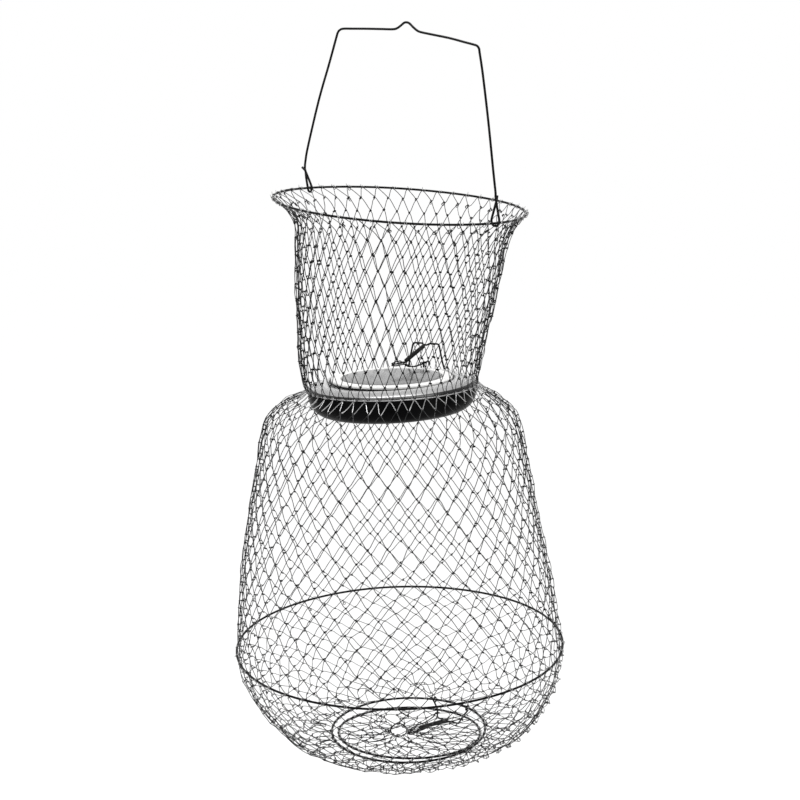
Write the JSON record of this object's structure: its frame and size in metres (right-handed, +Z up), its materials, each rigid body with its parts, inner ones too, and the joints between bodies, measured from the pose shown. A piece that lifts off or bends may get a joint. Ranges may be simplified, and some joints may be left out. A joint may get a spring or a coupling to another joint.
{
  "type": "fish basket",
  "caption": "Collapsible floating fish basket of black knotted wire net on wire rings, with a sprung lid in its float, a sprung bottom door and a wire bail, shown hanging.",
  "frame": {"origin": "middle of the wire at the top of the bail's hump, where the basket hangs", "axes": "+Z up; +X along the line through the bail's two pivots; +Y towards the side that carries both doors' hinges"},
  "size_m": [0.4831, 0.4832, 1.06],
  "materials": {
    "black_wire": "satin",
    "net_wire": "satin",
    "spring_steel": "dark, drawn",
    "float_top_grey": "gloss",
    "float_black": "gloss",
    "lid_rim_white": "satin",
    "lid_panel_grey": "satin"
  },
  "bodies": {
    "bail": {"bail_handle": "black_wire"},
    "mouth": {"mouth_ring": "black_wire", "neck_net": "net_wire"},
    "float": {"float_upper": "float_top_grey", "float_lower": "float_black", "seat_ring": "black_wire", "lid_arch": "black_wire", "lid_spring": "spring_steel", "body_net": "net_wire"},
    "lid": {"lid_rim": "lid_rim_white", "lid_panel": "lid_panel_grey", "lid_lever": "black_wire", "lid_clip_left": "black_wire", "lid_clip_right": "black_wire"},
    "hoop": {"belly_hoop": "black_wire", "bowl_net": "net_wire"},
    "bottom": {"bottom_ring": "black_wire", "door_arch": "black_wire", "door_spring": "spring_steel"},
    "door": {"door_ring": "black_wire", "door_net": "net_wire", "gather_ring": "black_wire", "door_lever": "black_wire"}
  },
  "joints": [
    {"name": "bail_swing", "type": "hinge", "parent": "bail", "child": "mouth", "pos_m": [0.00385, -0.0175, -0.25024], "axis": [0.9989, -0.0032, -0.0464], "range_deg": [-60, 60]},
    {"name": "neck_slide", "type": "slide", "parent": "mouth", "child": "float", "axis": [0, 0, 1], "range_m": [0, 0.245], "deforming": ["neck_net"]},
    {"name": "body_slide", "type": "slide", "parent": "float", "child": "hoop", "axis": [0, 0, 1], "range_m": [0, 0.38], "deforming": ["body_net"]},
    {"name": "bowl_slide", "type": "slide", "parent": "hoop", "child": "bottom", "axis": [0, 0, 1], "range_m": [0, 0.09], "deforming": ["bowl_net"]},
    {"name": "lid_hinge", "type": "hinge", "parent": "float", "child": "lid", "pos_m": [-0.01376, 0.05613, -0.48667], "axis": [-0.9918, -0.0964, -0.0844], "range_deg": [0, 40], "stiffness_Nm_per_rad": 0.15, "springref_deg": -57.3, "deforming": ["lid_spring"]},
    {"name": "door_hinge", "type": "hinge", "parent": "bottom", "child": "door", "pos_m": [0.00076, 0.09607, -1.05045], "axis": [0.9924, 0.1217, 0.0203], "range_deg": [0, 40], "stiffness_Nm_per_rad": 0.3, "springref_deg": -57.3, "deforming": ["door_spring"]}
  ]
}
